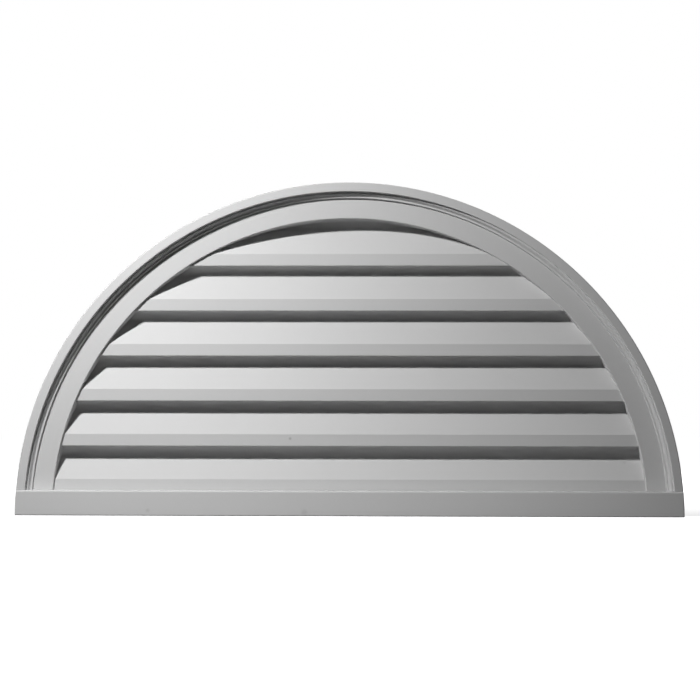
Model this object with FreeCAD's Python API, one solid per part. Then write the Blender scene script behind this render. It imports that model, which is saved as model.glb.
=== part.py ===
import FreeCAD, Part
import math
import os

# A half-round gable vent cast in one piece with a flat, closed back.
# Millimetres. X runs along the base, Z is up and the front faces -Y. The wall plane is Y = 0.
# The origin is the half circle's centre, on the base line in the wall plane.

Vector = FreeCAD.Vector

# overall
outer_radius = 457.2
overall_depth = 50.8
outer_edge_radius = 1.5

# sill along the base, a little proud of the arch's rim
sill_height = 34.5
sill_proud = 1.6
sill_top_radius = 2.2
rim_depth = overall_depth - sill_proud

# arch moulding: radii of its steps, and how far each tread lies behind the rim's face
rim_inner_radius = 444.6
ogee_top_radius = 442.2
ogee_foot_radius = 439.4
fillet_radius = 436.9
band_outer_radius = 436.1
upper_tread_back = 6.8
lower_tread_back = 12.0
band_back = 16.4
ogee_round = 1.8
ogee_hollow = 1.8
rim_edge_radius = 1.2
fillet_edge_radius = 0.6

# opening inside the flat band
opening_radius = 408.8
opening_edge_radius = 1.4
opening_draft = 0.8

# louvres: sloped faces that each end in an upright nosing and cove in under the nosing above
louvre_count = 6
louvre_pitch = 62.15
first_nosing_top = 360.2
nosing_height = 16.4
nosing_back = 20.8
setback_per_rise = 0.62
underside_draft = 0.7
nosing_edge_radius = 1.0
cove_radius = 10.0
crown_clearance = 1.0
louvre_overlap = 6.0


# Distance behind the rim's face, given as a Y value.
def behind_rim(distance):
    return distance - rim_depth


# A closed face from corners (u, v, radius): straight sides, each corner rounded to its own radius.
def rounded_face(corners, place):
    joins = []
    for index, (u, v, radius) in enumerate(corners):
        here = Vector(u, v, 0)
        before = Vector(*corners[index - 1][:2], 0) - here
        after = Vector(*corners[(index + 1) % len(corners)][:2], 0) - here
        if radius == 0:
            joins.append([here])
            continue
        before.normalize()
        after.normalize()
        half_angle = before.getAngle(after) / 2
        reach = radius / math.tan(half_angle)
        inward = (before + after).normalize()
        middle = here + inward * (radius / math.sin(half_angle) - radius)
        joins.append([here + before * reach, middle, here + after * reach])
    edges = []
    for index, join in enumerate(joins):
        if len(join) == 3:
            edges.append(Part.Arc(*[place(point) for point in join]).toShape())
        following = joins[(index + 1) % len(joins)]
        edges.append(Part.makeLine(place(join[-1]), place(following[0])))
    return Part.Face(Part.Wire(edges))


# A radial section turned through the half circle that stands on the base line.
def half_turn(corners):
    section = rounded_face(corners, lambda point: Vector(point.x, point.y, 0))
    return section.revolve(Vector(0, 0, 0), Vector(0, -1, 0), 180)


# An upright section, drawn in Y and Z, run along the base from end to end.
def run_along_base(corners, half_length):
    section = rounded_face(corners, lambda point: Vector(-half_length, point.x, point.y))
    return section.extrude(Vector(2 * half_length, 0, 0))


# The arch: rim, upper tread, ogee, lower tread, small fillet, flat band and the wall of the opening.
def arch():
    return half_turn([
        (outer_radius, 0, 0),
        (outer_radius, behind_rim(0), outer_edge_radius),
        (rim_inner_radius, behind_rim(0), rim_edge_radius),
        (rim_inner_radius, behind_rim(upper_tread_back), 0),
        (ogee_top_radius, behind_rim(upper_tread_back), ogee_round),
        (ogee_foot_radius, behind_rim(lower_tread_back), ogee_hollow),
        (fillet_radius, behind_rim(lower_tread_back), fillet_edge_radius),
        (band_outer_radius, behind_rim(band_back), 0),
        (opening_radius, behind_rim(band_back), opening_edge_radius),
        (opening_radius - opening_draft, 0, 0),
    ])


# The sill: a plain bar with eased front edges whose ends follow the half circle.
def sill():
    bar = run_along_base([
        (0, 0, 0),
        (-overall_depth, 0, outer_edge_radius),
        (-overall_depth, sill_height, sill_top_radius),
        (0, sill_height, 0),
    ], outer_radius)
    half_disc = half_turn([
        (0, 0, 0),
        (0, -overall_depth, 0),
        (outer_radius, -overall_depth, outer_edge_radius),
        (outer_radius, 0, 0),
    ])
    return bar.common(half_disc)


# The louvre bank: one saw-tooth section. Each tooth is an upright nosing and a face that slopes up
# and back, then turns forward in a cove into the near-level underside of the nosing above.
# The top one coves in under the crown of the opening.
def louvres():
    nosing = behind_rim(nosing_back)
    reach = opening_radius + louvre_overlap
    corners = [(0, 0, 0), (nosing, 0, 0)]
    for step in reversed(range(louvre_count)):
        top = first_nosing_top - step * louvre_pitch
        under = top + louvre_pitch - nosing_height
        if step == 0:
            under = opening_radius + crown_clearance
        crease = nosing + setback_per_rise * (under - underside_draft - top)
        corners.append((nosing, top, nosing_edge_radius))
        corners.append((crease, under - underside_draft, cove_radius))
        corners.append((nosing, under, nosing_edge_radius))
    corners.append((nosing, reach, 0))
    corners.append((0, reach, 0))
    half_disc = half_turn([(0, 0, 0), (0, behind_rim(0), 0), (reach, behind_rim(0), 0), (reach, 0, 0)])
    return run_along_base(corners, reach).common(half_disc)


def gable_vent():
    return arch().fuse([sill(), louvres()]).removeSplitter()


os.makedirs("parts", exist_ok=True)
gable_vent().exportStep("parts/gable_vent.step")
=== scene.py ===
import bpy
import numpy as np
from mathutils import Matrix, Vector


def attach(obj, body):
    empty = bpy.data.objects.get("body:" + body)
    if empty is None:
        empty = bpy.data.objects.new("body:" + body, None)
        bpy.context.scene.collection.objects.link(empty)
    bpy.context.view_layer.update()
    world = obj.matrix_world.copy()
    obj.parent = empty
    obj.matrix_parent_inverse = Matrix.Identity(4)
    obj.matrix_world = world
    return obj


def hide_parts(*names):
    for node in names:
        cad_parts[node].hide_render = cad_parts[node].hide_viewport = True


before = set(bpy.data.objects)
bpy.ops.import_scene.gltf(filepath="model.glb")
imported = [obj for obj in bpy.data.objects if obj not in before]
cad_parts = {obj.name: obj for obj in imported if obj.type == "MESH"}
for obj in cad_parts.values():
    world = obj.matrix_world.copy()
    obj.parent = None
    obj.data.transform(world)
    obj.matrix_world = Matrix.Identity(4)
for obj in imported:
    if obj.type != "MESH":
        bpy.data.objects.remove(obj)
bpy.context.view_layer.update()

mm = 0.001  # the casting's sizes are in millimetres, its mesh and the studio in metres


# outline with every corner (u, v, radius) rounded: the arc's centre lies radius / sin(half angle) along
# the corner's bisector, and its points are a circular blend of the two directions from the centre to the
# tangent points; each straight run gets straightSteps points, the outer two a short guard away from the
# arcs so that flat faces stay flat
def easedOutline(corners, arcSteps, straightSteps, guard=0.5):
    table = np.array(corners, float)
    point, radius = table[:, :2], table[:, 2:]
    unit = lambda v: v / np.linalg.norm(v, axis=1, keepdims=True)
    toLast, toNext = unit(np.roll(point, 1, 0) - point), unit(np.roll(point, -1, 0) - point)
    half = np.arccos(np.clip((toLast * toNext).sum(1, keepdims=True), -1, 1)) / 2
    reach = radius / np.tan(half)
    centre = point + unit(toLast + toNext) * radius / np.sin(half)
    first, last = point + toLast * reach - centre, point + toNext * reach - centre
    sweep, step = np.pi - 2 * half, np.linspace(0, 1, arcSteps)
    fromFirst, fromLast = np.sin((1 - step) * sweep)[..., None], np.sin(step * sweep)[..., None]
    blend = fromFirst * first[:, None] + fromLast * last[:, None]
    arc = centre[:, None] + blend / np.sin(sweep)[..., None]
    leave, arrive = arc[:, -1], np.roll(arc[:, 0], -1, 0)
    length = np.linalg.norm(arrive - leave, axis=1, keepdims=True)
    margin = np.minimum(guard, length / 4)
    along = margin + (length - 2 * margin) * np.linspace(0, 1, straightSteps)
    straight = leave[:, None] + unit(arrive - leave)[:, None] * along[..., None]
    return np.concatenate((arc, straight), 1).reshape(-1, 2)


# closed skin of a rows x columns grid of points: rows run round the section, columns along the path,
# quads between them; each end is closed by one polygon, or, where cuts are given, by strips across it
# from the rows in cuts to their mirror rows; turned inside out if its enclosed volume comes out negative
def sweptSkin(grid, cuts=None):
    rows, columns = grid.shape[:2]
    index = np.arange(rows * columns).reshape(rows, columns)
    below = np.roll(index, -1, 0)
    quads = np.stack((index[:, :-1], index[:, 1:], below[:, 1:], below[:, :-1]), -1).reshape(-1, 4)
    points = grid.reshape(-1, 3)
    a, b, c, d = (points[quads[:, k]] for k in range(4))
    volume = (np.cross(a, b) * c + np.cross(a, c) * d).sum()
    ends = [index[:, 0], index[::-1, -1]]
    if cuts is not None:
        mirrored = lambda ring, low, high: ring[rows - 1 - high:rows - low]
        ends = [np.concatenate((ring[low:high + 1], mirrored(ring, low, high)))
                for ring in ends for low, high in zip(cuts, cuts[1:])]
    if volume < 0:
        quads, ends = quads[:, ::-1], [end[::-1] for end in ends]
    return points, quads.tolist() + [end.tolist() for end in ends]


archSize = {
    "outerRadius": 457.0, "rimDepth": 49.2, "outerEase": 1.5, "rimInner": 444.6, "rimEase": 1.2,
    "upperTread": 6.8, "ogeeTop": 442.2, "ogeeFoot": 439.4, "ogeeEase": 1.8, "lowerTread": 12.0,
    "filletTop": 436.9, "bandOuter": 436.1, "bandBack": 16.4, "filletEase": 0.6,
    "opening": 408.8, "openingEase": 1.4, "draft": 0.8, "rootEase": 0.3,
    "back": -0.01, "backEase": 0.6,  # a hair in front of the sill's back, so that no two faces coincide
    "startHeight": 28.7, "sections": 361, "arcSteps": 7, "straightSteps": 2, "guard": 0.3,
}


# the arch: its radial section (radius, y) carried round the half circle; each point of the section starts
# and ends at the same height inside the sill, so its angle runs from asin(height / radius) to the mirror
# of that
def archSkin(s):
    front, root = -s["rimDepth"], s["rootEase"]
    outline = easedOutline([
        (s["outerRadius"], s["back"], s["backEase"]),
        (s["outerRadius"], front, s["outerEase"]),
        (s["rimInner"], front, s["rimEase"]),
        (s["rimInner"], front + s["upperTread"], root),
        (s["ogeeTop"], front + s["upperTread"], s["ogeeEase"]),
        (s["ogeeFoot"], front + s["lowerTread"], s["ogeeEase"]),
        (s["filletTop"], front + s["lowerTread"], s["filletEase"]),
        (s["bandOuter"], front + s["bandBack"], root),
        (s["opening"], front + s["bandBack"], s["openingEase"]),
        (s["opening"] - s["draft"], s["back"], root),
    ], s["arcSteps"], s["straightSteps"], s["guard"])
    radius, y = outline[:, :1], outline[:, 1:]
    start = np.arcsin(s["startHeight"] / radius)
    angle = start + (np.pi - 2 * start) * np.linspace(0, 1, s["sections"])
    return sweptSkin(np.stack((radius * np.cos(angle), y + 0 * angle, radius * np.sin(angle)), -1))


sillSize = {
    "radius": 457.04, "height": 34.5, "depth": 50.8, "topEase": 2.2, "edgeEase": 1.5, "backEase": 0.6,
    "arcSteps": 7, "straightSteps": 8, "endSteps": 8,
    "innerStart": 0.5, "innerEnd": 450.0, "innerSteps": 14,  # plain columns past each end's round
}


# the sill: its upright section (y, z) carried along the base to where the half circle cuts each point's
# height, x = sqrt(radius^2 - z^2); near the ends the front recedes on a quarter round, and level strips
# close the ends
def sillSkin(s):
    arcSteps, halfRun = s["arcSteps"], s["straightSteps"] // 2
    outline = easedOutline([
        (0, 0, s["backEase"]), (-s["depth"], 0, s["edgeEase"]),
        (-s["depth"], s["height"], s["topEase"]), (0, s["height"], s["backEase"]),
    ], arcSteps, s["straightSteps"])
    y, z = np.roll(outline, -arcSteps - halfRun, 0).T[:, :, None]  # starts in the middle of the underside
    turn = np.linspace(0, np.pi / 2, s["endSteps"])
    fromEnd = s["edgeEase"] * (1 - np.cos(turn))
    recede = s["edgeEase"] * (1 - np.sin(turn))
    inner = np.linspace(fromEnd[-1] + s["innerStart"], s["innerEnd"], s["innerSteps"])
    fromEnd = np.concatenate((fromEnd, inner))
    recede = np.concatenate((recede, 0 * inner))
    side = np.repeat((-1.0, 1.0), len(fromEnd))
    fromEnd = np.concatenate((fromEnd, fromEnd[::-1]))
    recede = np.concatenate((recede, recede[::-1]))
    x = side * (np.sqrt(s["radius"] ** 2 - z ** 2) - fromEnd)
    half, level = len(z) // 2, halfRun + 1
    cuts = [0, *range(level, half - level), half - 1]  # the flat underside and top are one cut each
    return sweptSkin(np.stack((x, np.maximum(y, recede - s["depth"]), z + 0 * x), -1), cuts)


louvreSize = {
    "count": 6, "pitch": 62.15, "firstTop": 360.2, "nosing": 16.4, "nosingBack": 20.8, "slope": 0.62,
    "underDraft": 0.7, "nosingEase": 1.0, "cove": 10.0, "crown": 409.8,
    "foot": 3.0, "reach": 417.0, "radius": 420.0,  # these end inside the sill and the arch
    "back": -0.02,  # a hair in front of the arch's back
    "arcSteps": 12, "straightSteps": 14, "columns": 18,
}


# the louvre bank: a saw-tooth section (y, z) carried across the opening; each tooth is an upright nosing,
# then a face sloping up and back, then a cove that turns it forward into the level underside of the nosing
# above (of the arch's crown for the top one); every point runs into the arch at x = sqrt(radius^2 - z^2),
# and the back is a plain face
def louvreSkin(s, rimDepth):
    nosing = s["nosingBack"] - rimDepth
    corners = [(s["back"], s["foot"], 0), (nosing, s["foot"], 0)]
    for step in reversed(range(s["count"])):
        top = s["firstTop"] - step * s["pitch"]
        under = top + s["pitch"] - s["nosing"] if step else s["crown"]
        crease = nosing + s["slope"] * (under - s["underDraft"] - top)
        corners += [
            (nosing, top, s["nosingEase"]),
            (crease, under - s["underDraft"], s["cove"]),
            (nosing, under, s["nosingEase"]),
        ]
    corners += [(nosing, s["reach"], 0), (s["back"], s["reach"], 0)]
    arcSteps, straightSteps = s["arcSteps"], s["straightSteps"]
    outline = easedOutline(corners, arcSteps, straightSteps)
    outline = outline[arcSteps + straightSteps:1 - 2 * straightSteps - arcSteps]  # the front, foot to top
    y = np.concatenate((outline[:, :1], np.full_like(outline[:, :1], s["back"])))
    z = np.concatenate((outline[:, 1:], outline[::-1, 1:]))
    x = np.sqrt(s["radius"] ** 2 - z ** 2) * np.linspace(-1, 1, s["columns"])
    return sweptSkin(np.stack((x, y + 0 * x, z + 0 * x), -1), range(len(z) // 2))


# the three skins become one: each is united with the arch's, and the faces inside the casting go
def buildCasting(skins, creaseDegrees=40):
    solids = []
    for points, faces in skins:
        mesh = bpy.data.meshes.new("castingSkin")
        mesh.from_pydata(points * mm, [], faces)
        solids.append(bpy.data.objects.new("castingSkin", mesh))
        bpy.context.scene.collection.objects.link(solids[-1])
    for other in solids[1:]:
        join = solids[0].modifiers.new("join", "BOOLEAN")
        join.operation, join.solver, join.object = "UNION", "EXACT", other
    whole = solids[0].evaluated_get(bpy.context.evaluated_depsgraph_get())
    mesh = bpy.data.meshes.new_from_object(whole)
    mesh.name = "ventCasting"
    for skin in [solid.data for solid in solids]:
        bpy.data.meshes.remove(skin)  # its object goes with it
    mesh.shade_smooth()
    mesh.set_sharp_from_angle(angle=np.radians(creaseDegrees))
    casting = bpy.data.objects.new("ventCasting", mesh)
    bpy.context.scene.collection.objects.link(casting)
    return casting


louvres = louvreSkin(louvreSize, archSize["rimDepth"])
casting = buildCasting([archSkin(archSize), sillSkin(sillSize), louvres])
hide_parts("gable_vent")
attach(casting, "root")
print("casting built,", len(casting.data.vertices), "points")


# wraps one socket: + - * > on it, or with a number before it, add Math nodes, and put() adds any other node
class Wire:
    def __init__(self, tree, socket=None):
        self.tree, self.socket = tree, socket

    def put(self, kind, settings=None, sockets=None, out=0):
        node = self.tree.nodes.new(kind)
        for name, value in (settings or {}).items():
            setattr(node, name, value)
        for name, value in (sockets or {}).items():
            if isinstance(value, Wire):
                self.tree.links.new(value.socket, node.inputs[name])
            else:
                node.inputs[name].default_value = value
        return Wire(self.tree, node.outputs[out] if node.outputs else None)

    def maths(self, operation, first, second=0.0):
        return self.put("ShaderNodeMath", {"operation": operation}, {0: first, 1: second})

    def __add__(self, other):
        return self.maths("ADD", self, other)

    def __sub__(self, other):
        return self.maths("SUBTRACT", self, other)

    def __rsub__(self, other):
        return self.maths("SUBTRACT", other, self)

    def __mul__(self, other):
        return self.maths("MULTIPLY", self, other)

    def __gt__(self, other):
        return self.maths("GREATER_THAN", self, other)

    __radd__, __rmul__ = __add__, __mul__


# an empty node tree of a material or a world
def newTree(owner):
    owner.use_nodes = True
    owner.node_tree.nodes.clear()
    return Wire(owner.node_tree)


primer = {
    "tone": 0.56, "broad": 0.03, "mottle": 0.02, "grain": 0.03,
    "roughness": 0.66, "roughMottle": 0.12, "roughBack": 0.15, "specular": 0.04,
    "bumpStrength": 0.12, "bumpDepth": 0.4,  # depth in mm
    "broadNoise": (7, 2), "mottleNoise": (95, 3), "grainNoise": (620, 2),  # scale and detail
    "peelNoise": (330, 2), "patchNoise": (11, 5), "lineNoise": (1, 3), "noiseRoughness": 0.55,
    "backStart": -0.6, "backTone": 0.9, "patch": 0.16,  # the back's finish starts at this y, in mm
    "sanded": 0.12, "lineRise": 1.5, "linesAlong": 9, "linesAcross": 420,  # lines to a metre
    "pitCells": 75.0, "pitShare": 0.35, "pitSize": 0.11, "pitEdge": 0.03, "pitDark": 0.22, "pitSink": 4,
    "markCore": 0.2, "markWobble": 1.2,  # wobble in mm
    "marks": [  # place in mm, size in mm, how dark
        ((-80.7, -28.4, 105.7), 3.0, 0.3), ((-274.3, -50.8, 7.6), 3.6, 0.12),
        ((-59.5, -50.8, 5.5), 6.5, 0.12), ((379.6, -13.4, 73.6), 3.6, 0.1),
    ],
}


# sprayed primer: a tone with broad, mottled and fine variation over a slight orange peel, a few handling
# marks on the front, and on the flat back a thinner coat with sanding lines along the base and small
# open pits
def primerMaterial(p):
    material = bpy.data.materials.new("primedUrethane")
    w = newTree(material)
    place = w.put("ShaderNodeTexCoord", out="Object")
    x, y, z = (w.put("ShaderNodeSeparateXYZ", None, {0: place}, out=k) for k in range(3))

    # noise about zero, from -0.5 to 0.5
    def noise(name, at=place):
        scale, detail = p[name + "Noise"]
        return w.put("ShaderNodeTexNoise", {"noise_dimensions": "3D"}, {
            "Vector": at, "Scale": scale, "Detail": detail, "Roughness": p["noiseRoughness"]}) - 0.5

    # 0 at a value of low, 1 at high, eased between them
    def easedStep(value, low, high):
        return w.put("ShaderNodeMapRange", {"interpolation_type": "SMOOTHSTEP"}, {
            0: value, 1: low, 2: high})

    broad, mottle, grain, peel, patch = (noise(n) for n in ("broad", "mottle", "grain", "peel", "patch"))
    onBack = y > p["backStart"] * mm
    stretched = {"X": x * p["linesAlong"], "Z": z * p["linesAcross"]}
    lines = noise("line", w.put("ShaderNodeCombineXYZ", None, stretched))

    # each cell of a flat pattern has a pit whose size is a random share of pitSize, none for most cells
    cells = {"Vector": w.put("ShaderNodeCombineXYZ", None, {"X": x, "Y": z}), "Scale": p["pitCells"]}
    toPit, pick = (w.put("ShaderNodeTexVoronoi", {"voronoi_dimensions": "2D"}, cells, out=k)
                   for k in ("Distance", "Color"))
    size = p["pitSize"] * (1 - w.put("ShaderNodeSeparateColor", None, {0: pick}) * (1 / p["pitShare"]))
    pit = easedStep(size - toPit, 0.0, p["pitEdge"])
    worn = onBack * (1 - p["backTone"] - p["patch"] * patch - p["sanded"] * lines + p["pitDark"] * pit)

    for spot, reach, dark in p["marks"]:
        away = w.put("ShaderNodeVectorMath", {"operation": "DISTANCE"}, {
            0: place, 1: np.array(spot) * mm}, out="Value")
        ragged = away + p["markWobble"] * mm * mottle
        worn = worn + dark * easedStep(ragged, reach * mm, p["markCore"] * reach * mm)

    tone = p["tone"] * (1 + p["broad"] * broad + p["mottle"] * mottle + p["grain"] * grain) * (1 - worn)
    colour = w.put("ShaderNodeCombineColor", None, {"Red": tone, "Green": tone, "Blue": tone})
    height = peel + onBack * (p["lineRise"] * lines - p["pitSink"] * pit)
    bump = w.put("ShaderNodeBump", None, {
        "Strength": p["bumpStrength"], "Distance": p["bumpDepth"] * mm, "Height": height})
    roughness = p["roughness"] + p["roughMottle"] * mottle + p["roughBack"] * onBack
    shader = w.put("ShaderNodeBsdfPrincipled", None, {
        "Base Color": colour, "Roughness": roughness, "Normal": bump, "Specular IOR Level": p["specular"]})
    w.put("ShaderNodeOutputMaterial", None, {"Surface": shader})
    return material


casting.data.materials.append(primerMaterial(primer))
print("primer finish made")

lamps = {  # place, direction, watts, width and height of each soft lamp
    "key": ((-0.501, -0.650, 0.778), (0.441, 0.16, -0.884), 13.1, (0.1, 0.1)),
    "low": ((0.3, -0.5, 0.04), (-0.05, 0.5, 0.02), 0.06, (0.3, 0.3)),
    "strip": ((0.0, -0.15, 0.003), (0.0, 1.0, 0.6), 0.075, (0.9, 0.05)),
    "back": ((1.5, 1.9, 1.3), (-1.5, -1.9, -1.1), 65.0, (1.2, 1.2)),
    "side": ((-2.0, 1.2, 0.9), (2.0, -1.2, -0.8), 16.0, (1.0, 1.0)),
}


def buildLamps(lamps):
    for name, (place, aim, watts, size) in lamps.items():
        lamp = bpy.data.lights.new(name + "Lamp", "AREA")
        lamp.shape, lamp.energy = "ELLIPSE", watts
        lamp.size, lamp.size_y = size
        holder = bpy.data.objects.new(name + "Lamp", lamp)
        holder.location = place
        holder.rotation_euler = Vector(aim).to_track_quat("-Z", "Y").to_euler()
        bpy.context.scene.collection.objects.link(holder)


# 1 for rays straight from the camera and for mirrored or passed-through ones: these see the white room
def straightOrMirrored(w):
    camera, mirrored, through = (w.put("ShaderNodeLightPath", out="Is %s Ray" % kind)
                                 for kind in ("Camera", "Glossy", "Transmission"))
    return camera + mirrored + through


grey = lambda level: (level, level, level, 1)  # a plain colour for a socket


roomLook = {"skyLevel": 0.015, "seenLevel": 1.0}


# a white room to the rays that are seen, an almost dark one to those that light the casting
def buildRoom(s):
    world = bpy.data.worlds.new("paleRoom")
    bpy.context.scene.world = world
    w = newTree(world)
    dim = w.put("ShaderNodeBackground", None, {"Strength": s["skyLevel"], "Color": grey(1)})
    white = w.put("ShaderNodeBackground", None, {"Strength": s["seenLevel"], "Color": grey(1)})
    w.put("ShaderNodeOutputWorld", None, {
        "Surface": w.put("ShaderNodeMixShader", None, {0: straightOrMirrored(w), 1: dim, 2: white})})


floorLook = {
    "corners": [(-12, -8, 0), (12, -8, 0), (12, 12, 0), (-12, 12, 0)], "tone": 0.035, "seenTone": 0.5,
    "paintedShadeDepth": 0.5, "paintedShadeReach": 0.75, "paintedShadeStart": -0.045, "paintedShadeFull": -0.005, "halfBase": 0.457,
}


# a matt floor; to the rays that are seen it glows white, with painted shade behind the casting: the glow
# drops by a set depth at the base line and comes back over a set reach, so the lamps' shadow there shows
# and is darkened by the painted shade
def buildFloor(s):
    mesh = bpy.data.meshes.new("studioFloor")
    mesh.from_pydata(s["corners"], [], [(0, 1, 2, 3)])
    floor = bpy.data.objects.new("studioFloor", mesh)
    bpy.context.scene.collection.objects.link(floor)

    material = bpy.data.materials.new("paleFloor")
    w = newTree(material)
    matt = w.put("ShaderNodeBsdfDiffuse", None, {"Color": grey(s["tone"])})
    pale = w.put("ShaderNodeBsdfDiffuse", None, {"Color": grey(s["seenTone"])})
    place = w.put("ShaderNodeTexCoord", out="Object")
    x, y = (w.put("ShaderNodeSeparateXYZ", None, {0: place}, out=k) for k in range(2))
    past = w.maths("MAXIMUM", w.maths("ABSOLUTE", x) - s["halfBase"], 0.0)  # how far beyond the base's end
    away = w.maths("SQRT", past * past + y * y)
    near = w.put("ShaderNodeMapRange", None, {0: away, 1: s["paintedShadeReach"], 2: 0.0})
    behind = w.put("ShaderNodeMapRange", None, {0: y, 1: s["paintedShadeStart"], 2: s["paintedShadeFull"]})
    # painted shade: the seen glow is lowered near the base, behind the casting
    level = 1 - s["paintedShadeDepth"] * near * behind
    glowColour = w.put("ShaderNodeCombineColor", None, {"Red": level, "Green": level, "Blue": level})
    glow = w.put("ShaderNodeEmission", None, {"Strength": 1.0, "Color": glowColour})
    lit = w.put("ShaderNodeAddShader", None, {0: pale, 1: glow})
    w.put("ShaderNodeOutputMaterial", None, {
        "Surface": w.put("ShaderNodeMixShader", None, {0: straightOrMirrored(w), 1: matt, 2: lit})})
    mesh.materials.append(material)


photoView = {
    "place": (0.0839, -2.924, 0.1311), "turn": (91.911, -0.098, 1.625),  # metres, degrees
    "lens": 108.24, "sensor": 36.0, "farEnd": 60.0,
}


def buildCamera(s):
    lens = bpy.data.cameras.new("photoCamera")
    lens.lens, lens.sensor_width, lens.clip_end = s["lens"], s["sensor"], s["farEnd"]
    camera = bpy.data.objects.new("photoCamera", lens)
    camera.location = s["place"]
    camera.rotation_euler = np.radians(s["turn"])
    bpy.context.scene.collection.objects.link(camera)
    bpy.context.scene.camera = camera


bpy.context.scene.view_settings.view_transform = "Standard"
buildLamps(lamps)
buildRoom(roomLook)
buildFloor(floorLook)
buildCamera(photoView)
print("studio set")
